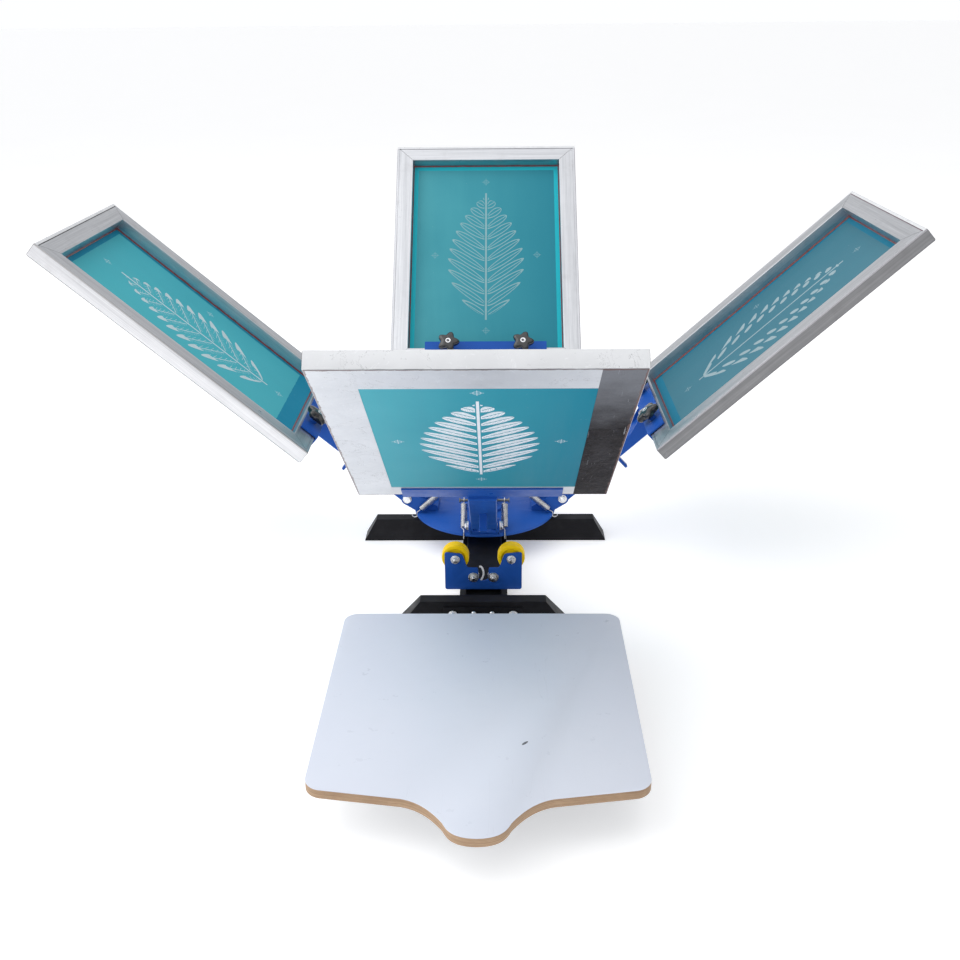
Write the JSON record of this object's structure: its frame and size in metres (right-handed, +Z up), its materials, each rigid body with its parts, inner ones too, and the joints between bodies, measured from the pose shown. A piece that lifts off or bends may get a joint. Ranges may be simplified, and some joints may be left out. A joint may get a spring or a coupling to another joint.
{
  "type": "screen printing carousel",
  "caption": "Tabletop rotary screen printing press with sprung, clamped screens on a turntable, a roller registration gate and a single shirt platen.",
  "frame": {"origin": "on the bench plane under the middle of the whole press, screens raised", "axes": "+Z up; +Y from the printer's end of the platen towards the back screen; +X to the printer's right"},
  "size_m": [1.6408, 1.8802, 0.7408],
  "materials": {
    "blue_paint": "satin blue powder coat",
    "black_paint": "satin black powder coat",
    "zinc_steel": "bright zinc plating",
    "aluminium": "mill-finish aluminium extrusion",
    "stencil_mesh": "woven polyester coated with teal emulsion",
    "yellow_roller": "moulded yellow nylon",
    "black_plastic": "moulded black plastic",
    "laminated_board": "pale laminate on board, bare edge"
  },
  "bodies": {
    "base": {"rear_foot": "black_paint", "front_foot": "black_paint", "base_beam": "black_paint", "spindle": "zinc_steel", "thrust_bearing": "zinc_steel", "spindle_nut": "zinc_steel", "gate_plate": "blue_paint", "roller_bolt_left": "zinc_steel", "roller_bolt_right": "zinc_steel", "bearing_bolt_left": "zinc_steel", "bearing_bolt_right": "zinc_steel", "platen_arm": "black_paint", "platen_bracket": "black_paint", "platen": "laminated_board"},
    "roller_left": {"guide_roller_left": "yellow_roller"},
    "roller_right": {"guide_roller_right": "yellow_roller"},
    "bearing_left": {"gate_bearing_left": "zinc_steel"},
    "bearing_right": {"gate_bearing_right": "zinc_steel"},
    "turntable": {"turntable_disc": "blue_paint", "turntable_hub": "blue_paint", "hinge_bracket_front": "blue_paint", "pivot_bolt_front": "zinc_steel", "spring_front_left": "zinc_steel", "spring_front_right": "zinc_steel", "hinge_bracket_right": "blue_paint", "pivot_bolt_right": "zinc_steel", "spring_right_left": "zinc_steel", "spring_right_right": "zinc_steel", "hinge_bracket_back": "blue_paint", "pivot_bolt_back": "zinc_steel", "spring_back_left": "zinc_steel", "spring_back_right": "zinc_steel", "hinge_bracket_left": "blue_paint", "pivot_bolt_left": "zinc_steel", "spring_left_left": "zinc_steel", "spring_left_right": "zinc_steel"},
    "head_front": {"clamp_arm_front": "blue_paint", "spring_rod_front": "zinc_steel", "screen_frame_front": "aluminium", "screen_mesh_front": "stencil_mesh"},
    "knob_front_left": {"knob_front_left": "black_plastic"},
    "knob_front_right": {"knob_front_right": "black_plastic"},
    "head_right": {"clamp_arm_right": "blue_paint", "spring_rod_right": "zinc_steel", "screen_frame_right": "aluminium", "screen_mesh_right": "stencil_mesh"},
    "knob_right_left": {"knob_right_left": "black_plastic"},
    "knob_right_right": {"knob_right_right": "black_plastic"},
    "head_back": {"clamp_arm_back": "blue_paint", "spring_rod_back": "zinc_steel", "screen_frame_back": "aluminium", "screen_mesh_back": "stencil_mesh"},
    "knob_back_left": {"knob_back_left": "black_plastic"},
    "knob_back_right": {"knob_back_right": "black_plastic"},
    "head_left": {"clamp_arm_left": "blue_paint", "spring_rod_left": "zinc_steel", "screen_frame_left": "aluminium", "screen_mesh_left": "stencil_mesh"},
    "knob_left_left": {"knob_left_left": "black_plastic"},
    "knob_left_right": {"knob_left_right": "black_plastic"}
  },
  "joints": [
    {"name": "turntable_spin", "type": "hinge", "parent": "base", "child": "turntable", "pos_m": [0.00762, 0.16991, 0.06], "axis": [0, 0, 1], "continuous": true},
    {"name": "lift_front", "type": "hinge", "parent": "turntable", "child": "head_front", "pos_m": [0.00762, 0.00191, 0.0895], "axis": [-1, 0, 0], "range_deg": [-38.5, 0], "stiffness_Nm_per_rad": 10, "springref_deg": 91.67, "deforming": ["spring_front_left", "spring_front_right"]},
    {"name": "lift_right", "type": "hinge", "parent": "turntable", "child": "head_right", "pos_m": [0.17562, 0.16991, 0.0895], "axis": [0, -1, 0], "range_deg": [-42.5, 0], "stiffness_Nm_per_rad": 10, "springref_deg": 91.67, "deforming": ["spring_right_left", "spring_right_right"]},
    {"name": "lift_back", "type": "hinge", "parent": "turntable", "child": "head_back", "pos_m": [0.00762, 0.33791, 0.0895], "axis": [1, 0, 0], "range_deg": [-46.5, 0], "stiffness_Nm_per_rad": 10, "springref_deg": 91.67, "deforming": ["spring_back_left", "spring_back_right"]},
    {"name": "lift_left", "type": "hinge", "parent": "turntable", "child": "head_left", "pos_m": [-0.16038, 0.16991, 0.0895], "axis": [0, 1, 0], "range_deg": [-41, 0], "stiffness_Nm_per_rad": 10, "springref_deg": 91.67, "deforming": ["spring_left_left", "spring_left_right"]},
    {"name": "knob_turn_front_left", "type": "hinge", "parent": "head_front", "child": "knob_front_left", "pos_m": [0.09612, -0.18951, 0.28048], "axis": [0, 0.6225, 0.7826], "range_deg": [0, 720]},
    {"name": "knob_turn_front_right", "type": "hinge", "parent": "head_front", "child": "knob_front_right", "pos_m": [-0.08088, -0.18951, 0.28048], "axis": [0, 0.6225, 0.7826], "range_deg": [0, 720]},
    {"name": "knob_turn_right_left", "type": "hinge", "parent": "head_right", "child": "knob_right_left", "pos_m": [0.35326, 0.25841, 0.29337], "axis": [-0.6756, 0, 0.7373], "range_deg": [0, 720]},
    {"name": "knob_turn_right_right", "type": "hinge", "parent": "head_right", "child": "knob_right_right", "pos_m": [0.35326, 0.08141, 0.29337], "axis": [-0.6756, 0, 0.7373], "range_deg": [0, 720]},
    {"name": "knob_turn_back_left", "type": "hinge", "parent": "head_back", "child": "knob_back_left", "pos_m": [-0.08088, 0.5045, 0.32941], "axis": [0, -0.7254, 0.6884], "range_deg": [0, 720]},
    {"name": "knob_turn_back_right", "type": "hinge", "parent": "head_back", "child": "knob_back_right", "pos_m": [0.09612, 0.5045, 0.32941], "axis": [0, -0.7254, 0.6884], "range_deg": [0, 720]},
    {"name": "knob_turn_left_left", "type": "hinge", "parent": "head_left", "child": "knob_left_left", "pos_m": [-0.34329, 0.08141, 0.28865], "axis": [0.6561, 0, 0.7547], "range_deg": [0, 720]},
    {"name": "knob_turn_left_right", "type": "hinge", "parent": "head_left", "child": "knob_left_right", "pos_m": [-0.34329, 0.25841, 0.28865], "axis": [0.6561, 0, 0.7547], "range_deg": [0, 720]},
    {"name": "roller_spin_left", "type": "hinge", "parent": "base", "child": "roller_left", "pos_m": [-0.04648, -0.13399, 0.0882], "axis": [0, 1, 0], "continuous": true},
    {"name": "bearing_spin_left", "type": "hinge", "parent": "base", "child": "bearing_left", "pos_m": [-0.01158, -0.14269, 0.0498], "axis": [0, 1, 0], "continuous": true},
    {"name": "roller_spin_right", "type": "hinge", "parent": "base", "child": "roller_right", "pos_m": [0.06172, -0.13399, 0.0882], "axis": [0, 1, 0], "continuous": true},
    {"name": "bearing_spin_right", "type": "hinge", "parent": "base", "child": "bearing_right", "pos_m": [0.02682, -0.14269, 0.0498], "axis": [0, 1, 0], "continuous": true}
  ]
}
